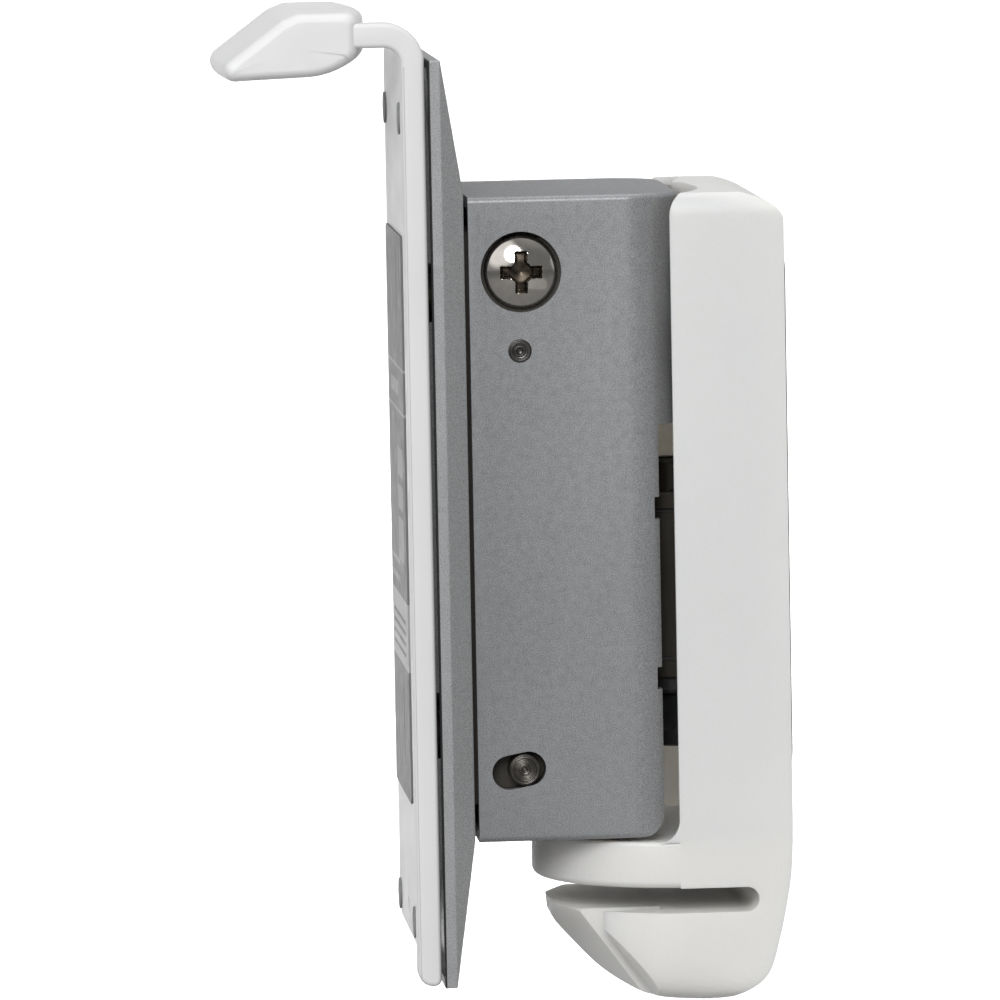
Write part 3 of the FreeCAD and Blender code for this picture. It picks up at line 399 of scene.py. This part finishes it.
def rounded(corners, steps):
    """A closed outline: each corner is (u, v, radius). Returns points and their outward normals."""
    count = len(corners)
    following = corners[1:] + corners[:1]
    area = sum(first[0] * last[1] - last[0] * first[1] for first, last in zip(corners, following))
    turn = 1.0 if area > 0 else -1.0
    points = []
    for i, (u, v, radius) in enumerate(corners):
        here = Vector((u, v))
        before = (Vector(corners[i - 1][:2]) - here).normalized()
        after = (Vector(corners[(i + 1) % count][:2]) - here).normalized()
        half = before.angle(after) / 2
        reach = radius / math.tan(half)
        first = here + before * reach
        last = here + after * reach
        centre = here + (before + after).normalized() * (radius / math.sin(half))
        for k in range(steps + 1):
            t = k / steps
            spot = first.lerp(last, t) - centre
            points.append(centre + spot.normalized() * radius)
    normals = []
    total = len(points)
    for i in range(total):
        along = (points[(i + 1) % total] - points[i - 1]).normalized()
        normals.append(Vector((along.y, -along.x)) * turn)
    return points, normals


def tube_faces(rings, sides):
    """Quads between rings of points that follow each other."""
    faces = []
    for ring in range(rings - 1):
        low = ring * sides
        for k in range(sides):
            n = (k + 1) % sides
            faces.append((low + k, low + n, low + sides + n, low + sides + k))
    return faces


def capped_faces(rings, sides):
    """Quads between rings of points, and one face over each end."""
    last = (rings - 1) * sides
    return tube_faces(rings, sides) + [tuple(range(sides)), tuple(range(last, last + sides))]


RIM_STEPS = 6


def slab(name, corners, start, end, start_round, end_round, node, place, steps):
    """An outline pushed along a third axis, with rounded rims; place(u, v, w) puts it in the frame."""
    outline, normals = rounded(corners, steps)
    leans = [math.pi / 2 * k / RIM_STEPS for k in range(RIM_STEPS + 1)]
    waves = [(1 - math.sin(lean), 1 - math.cos(lean)) for lean in leans]
    rings = [(start + start_round * late, start_round * early) for early, late in waves]
    rings += [(end - end_round * early, end_round * late) for early, late in waves]
    points = []
    for w, inset in rings:
        for spot, normal in zip(outline, normals):
            shifted = spot - normal * inset
            points.append(place(shifted.x, shifted.y, w))
    new_piece(name, points, capped_faces(len(rings), len(outline)), node, 50.0)


TURN_SIDES = 72


def turned_mesh(profile, place, hexes=()):
    """Points and faces of a turned solid. profile holds (radius, distance); rings in hexes are six-sided."""
    points = []
    for r, (radius, distance) in enumerate(profile):
        for k in range(TURN_SIDES):
            angle = 2 * math.pi * k / TURN_SIDES
            reach = radius
            if r in hexes:
                wedge = (angle % (math.pi / 3)) - math.pi / 6
                reach = min(radius, radius * math.cos(math.pi / 6) / math.cos(wedge) * 1.02)
            points.append(place(reach * math.cos(angle), reach * math.sin(angle), distance))
    return points, capped_faces(len(profile), TURN_SIDES)


def joined(parts):
    """The points and faces of several meshes as one."""
    points = []
    faces = []
    for some_points, some_faces in parts:
        base = len(points)
        points += some_points
        faces += [tuple(base + i for i in face) for face in some_faces]
    return points, faces


# ---------------------------------------------------------------- pieces

PAD_HALF = 25.0
PAD_EDGE = 2.2
PAD_INSET = 1.5
PAD_OUTLINE = [(-92.6, 74.24, 1.7), (-81.9, 82.4, 3.0), (-79.2, 83.5, 3.0), (-69.9, 83.5, 1.9),
               (-69.8, 76.4, 3.0), (-72.9, 74.2, 13.0), (-76.6, 73.2, 12.0), (-89.9, 72.7, 1.8)]
PAD_RIM_STEPS = 8
PAD_SPANS = 20
# how far the rear of the pad swells back and its nose swells forward at mid-width
REAR_SWELL = 2.4
NOSE_SWELL = 1.1


def make_pad():
    """Soft pad: a wedge-nosed section whose nose and rear swell towards the middle, with soft rims."""
    outline, normals = rounded(PAD_OUTLINE, 10)
    leans = [math.pi / 2 * k / PAD_RIM_STEPS for k in range(PAD_RIM_STEPS + 1)]
    rim = [(-PAD_HALF + PAD_EDGE * (1 - math.cos(lean)), PAD_INSET * (1 - math.sin(lean))) for lean in leans]
    flat = 2 * (PAD_HALF - PAD_EDGE)
    stations = rim + [(-PAD_HALF + PAD_EDGE + flat * k / PAD_SPANS, 0.0) for k in range(1, PAD_SPANS)]
    stations += [(-across, inset) for across, inset in reversed(rim)]
    points = []
    for across, inset in stations:
        swell = 1 - (across / PAD_HALF) ** 2
        for spot, normal in zip(outline, normals):
            depth = spot.x - normal.x * inset
            rear = min(1.0, max(0.0, (depth + 80.0) / 10.0))
            nose = min(1.0, max(0.0, (-84.0 - depth) / 8.0))
            depth += swell * (REAR_SWELL * rear - NOSE_SWELL * nose)
            points.append((across, depth, spot.y - normal.y * inset))
    count = len(outline)
    faces = tube_faces(len(stations), count)
    for ring in (0, len(stations) - 1):
        middle = sum((Vector(point) for point in points[ring * count:(ring + 1) * count]), Vector()) / count
        faces += [(ring * count + i, ring * count + (i + 1) % count, len(points)) for i in range(count)]
        points.append(middle)
    pad = new_piece("hook_pad_soft", points, faces, "hook_pad", 60.0)
    even = pad.modifiers.new("even_shading", "WEIGHTED_NORMAL")
    even.keep_sharp = True


def make_bar():
    """The upright bar at one side of the plate, which bends forward over its top into the pad."""
    corners = [(-58.9, -76.1, 1.2), (-58.9, 81.7, 6.5), (-78.5, 81.7, 0.3), (-78.5, 77.7, 0.3),
               (-62.7, 77.7, 2.8), (-62.7, -76.1, 2.4)]
    slab("hook_bar_strip", corners, 19.5, 24.5, 0.15, 0.75, "hook_bar", lambda u, v, w: (w, u, v), 14)


def screw_head_height(across, up):
    """Height of the head above its seat: a pan-head dome with a tapered cross recess."""
    radius = math.hypot(across, up)
    dome = HEAD_TALL - (HEAD_DOME - math.sqrt(HEAD_DOME ** 2 - radius * radius))
    rim = max(0.0, radius - 5.45)
    dome -= 1.6 * rim * rim
    long_side = max(abs(across), abs(up))
    short_side = min(abs(across), abs(up))
    narrow = 1.0 + max(0.0, 0.55 - 0.9 * (long_side - 1.0))
    wall = min((narrow - short_side) * 4.0, (3.45 - long_side) * 3.0)
    floor = 1.45 + 0.5 * max(0.0, 1.0 - radius / 1.7)
    depth = max(0.0, min(floor + 0.12 * (long_side < 1.9), wall))
    return dome - depth


def make_screws():
    """The two clamp screws, each a head with its recess over a plain shank."""
    rings = 64
    sides = 144
    seat = SCREW_SEAT
    parts = []
    for side in (1, -1):
        points = [(side * (seat + screw_head_height(0, 0)), SCREW_DEPTH, SCREW_HEIGHT)]
        for r in range(1, rings + 1):
            radius = HEAD_RADIUS * r / rings
            for k in range(sides):
                angle = 2 * math.pi * k / sides
                across = radius * math.cos(angle)
                up = radius * math.sin(angle)
                points.append((side * (seat + screw_head_height(across, up)), SCREW_DEPTH + across,
                               SCREW_HEIGHT + up))
        faces = [(0, 1 + k, 1 + (k + 1) % sides) for k in range(sides)]
        for r in range(rings - 1):
            for k in range(sides):
                n = (k + 1) % sides
                low = 1 + r * sides
                faces.append((low + k, low + sides + k, low + sides + n, low + n))
        rim = 1 + (rings - 1) * sides
        for radius, level in ((HEAD_RADIUS, 0.0), (3.0, 0.0), (3.0, -8.2), (2.6, -8.5)):
            for k in range(sides):
                angle = 2 * math.pi * k / sides
                points.append((side * (seat + level), SCREW_DEPTH + radius * math.cos(angle),
                               SCREW_HEIGHT + radius * math.sin(angle)))
        for r in range(4):
            for k in range(sides):
                n = (k + 1) % sides
                low = rim + r * sides
                faces.append((low + k, low + sides + k, low + sides + n, low + n))
        faces.append(tuple(rim + 4 * sides + k for k in range(sides)))
        parts.append((points, faces))
    points, faces = joined(parts)
    new_piece("tilt_screws_turned", points, faces, "tilt_screws", 40.0)


def make_rivets():
    """The two liner rivets, dimpled in the middle."""
    profile = [(1.9, 18.5), (1.9, 21.7), (1.68, 21.76), (1.64, 22.14), (1.56, 22.2), (1.28, 22.2),
               (1.2, 22.04), (0.98, 22.0), (0.84, 22.12), (0.62, 22.12), (0.42, 21.84), (0.12, 21.72)]
    parts = []
    for side in (1, -1):
        parts.append(turned_mesh(profile, lambda u, v, w: (side * w, RIVET_DEPTH + u, RIVET_HEIGHT + v)))
    points, faces = joined(parts)
    new_piece("liner_rivets_turned", points, faces, "liner_rivets", 25.0)


def make_pin():
    """The cross pin, with the same grooved end on both sides."""
    end = [(2.6, 22.18), (2.32, 22.5), (1.95, 22.5), (1.88, 22.38), (1.62, 22.38), (1.55, 22.5), (0.95, 22.5),
           (0.88, 22.4), (0.6, 22.4), (0.34, 22.2), (0.1, 22.15)]
    profile = [(radius, -distance) for radius, distance in reversed(end)] + end
    points, faces = turned_mesh(profile, lambda u, v, w: (w, PIN_DEPTH + u, PIN_HEIGHT + v))
    new_piece("cross_pin_turned", points, faces, "cross_pin", 25.0)


def make_nut_and_bolt():
    """The flanged nut and the hexagon bolt of the swivel, both on its axis."""
    nut = [(4.06, -28.1), (8.7, -28.1), (9.0, -28.4), (9.0, -30.1), (8.6, -30.7), (7.5, -30.9),
           (7.4, -31.2), (7.4, -36.4), (6.9, -37.1), (5.6, -39.0), (4.6, -39.9), (3.9, -40.1)]
    points, faces = turned_mesh(nut, lambda u, v, w: (u, SWIVEL_DEPTH + v, w), hexes=(6, 7))
    new_piece("clamp_nut_flanged", points, faces, "clamp_nut", 30.0)
    bolt = [(3.6, -37.3), (4.0, -36.9), (4.0, 2.7), (6.3, 2.7), (6.5, 2.9), (6.5, 6.9), (6.0, 7.4), (5.4, 7.5),
            (3.2, 7.5), (3.0, 7.2), (0.4, 7.2)]
    points, faces = turned_mesh(bolt, lambda u, v, w: (u, SWIVEL_DEPTH + v, w), hexes=(4, 5))
    new_piece("swivel_bolt_hex", points, faces, "swivel_bolt", 30.0)


# ---------------------------------------------------------------- setting

# the floor, in metres: its level, how far it reaches, and where and how high it curves up
FLOOR_LEVEL = -0.32
FLOOR_REACH = 20.0
COVE_BACK = -6.0
COVE_RADIUS = 0.6
COVE_STEPS = 24


def make_floor():
    """A pale studio floor whose far edge curves up behind the object."""
    profile = [(FLOOR_REACH, 0.0), (COVE_BACK + COVE_RADIUS, 0.0)]
    for k in range(1, COVE_STEPS + 1):
        angle = math.pi / 2 * k / COVE_STEPS
        profile.append((COVE_BACK + COVE_RADIUS - COVE_RADIUS * math.sin(angle),
                        COVE_RADIUS - COVE_RADIUS * math.cos(angle)))
    shape = bmesh.new()
    ends = (-FLOOR_REACH, FLOOR_REACH)
    rows = [[shape.verts.new((x, y, z + FLOOR_LEVEL)) for y in ends] for x, z in profile]
    for low, high in zip(rows, rows[1:]):
        shape.faces.new((low[0], low[1], high[1], high[0]))
    mesh = bpy.data.meshes.new("floor")
    shape.to_mesh(mesh)
    shape.free()
    for polygon in mesh.polygons:
        polygon.use_smooth = True
    floor = bpy.data.objects.new("floor", mesh)
    bpy.context.collection.objects.link(floor)
    s = Shader("floor_white")
    cloud = s.spread(s.noise(0.6, 2.0), 0.0, 1.0)
    base = s.blend(cloud, (0.31, 0.31, 0.31, 1.0), (0.34, 0.34, 0.34, 1.0))
    material = s.finish(base, s.spread(s.noise(2.0, 2.0), 0.85, 0.95), s.bump(cloud, 0.001, 0.1))
    mesh.materials.append(material)


# soft panels of the studio: direction towards the panel, where it starts and is full, brightness
WORLD_BASE = 0.3
WORLD_PANELS = [((0.72, -0.48, 0.50), 0.86, 0.95, 1.2), ((-0.25, 0.30, 0.92), 0.35, 0.95, 0.45),
                ((0.15, -0.98, 0.1), 0.3, 0.95, 0.2)]


def make_world():
    world = bpy.data.worlds.new("studio")
    world.use_nodes = True
    nodes = world.node_tree.nodes
    links = world.node_tree.links
    background = nodes["Background"]
    where = nodes.new("ShaderNodeTexCoord").outputs["Generated"]
    total = None
    for direction, start, full, brightness in WORLD_PANELS:
        dot = nodes.new("ShaderNodeVectorMath")
        dot.operation = "DOT_PRODUCT"
        dot.inputs[1].default_value = Vector(direction).normalized()
        ramp = nodes.new("ShaderNodeMapRange")
        ramp.interpolation_type = "SMOOTHSTEP"
        ramp.inputs["From Min"].default_value = start
        ramp.inputs["From Max"].default_value = full
        ramp.inputs["To Max"].default_value = brightness
        links.new(where, dot.inputs[0])
        links.new(dot.outputs["Value"], ramp.inputs["Value"])
        add = nodes.new("ShaderNodeMath")
        add.operation = "ADD"
        add.inputs[0].default_value = WORLD_BASE
        if total:
            links.new(total, add.inputs[0])
        links.new(ramp.outputs[0], add.inputs[1])
        total = add.outputs[0]
    links.new(total, background.inputs["Strength"])
    background.inputs["Color"].default_value = (1.0, 1.0, 1.0, 1.0)
    bpy.context.scene.world = world


def soft_light(name, spot, size, power, target=(0.0, -0.045, 0.0)):
    light = bpy.data.lights.new(name, "AREA")
    light.shape = "DISK"
    light.size = size
    light.energy = power
    lamp = bpy.data.objects.new(name, light)
    bpy.context.collection.objects.link(lamp)
    lamp.location = spot
    lamp.rotation_euler = (Vector(target) - Vector(spot)).to_track_quat("-Z", "Y").to_euler()


make_camera()
make_world()
make_floor()
soft_light("key", (1.55, -0.3, 0.85), 0.9, 17.5)
soft_light("side", (0.5, 1.6, 0.3), 0.9, 1.0)
soft_light("reflector", (0.5, 0.28, -0.3), 0.45, 0.12)
soft_light("top", (-0.2, 0.1, 1.7), 1.0, 4.0)
soft_light("backdrop", (-2.6, 0.0, 2.8), 4.0, 850.0, (-5.2, 0.0, 0.7))
bpy.context.scene.view_settings.view_transform = "Standard"

MATERIALS = make_materials()
for node_name, cad_object in frame["nodes"].items():
    cad_object.data.materials.clear()
    cad_object.data.materials.append(MATERIALS[NODE_SLOT[node_name]])

make_pad()
make_bar()
make_screws()
make_rivets()
make_pin()
make_nut_and_bolt()
for name, width in (("hook_plate", 0.35), ("back_tray", 0.3), ("swivel_housing", 0.35), ("wall_cover", 0.3),
                    ("face_label", 0.12), ("wall_plate", 0.3)):
    refined(name, width)
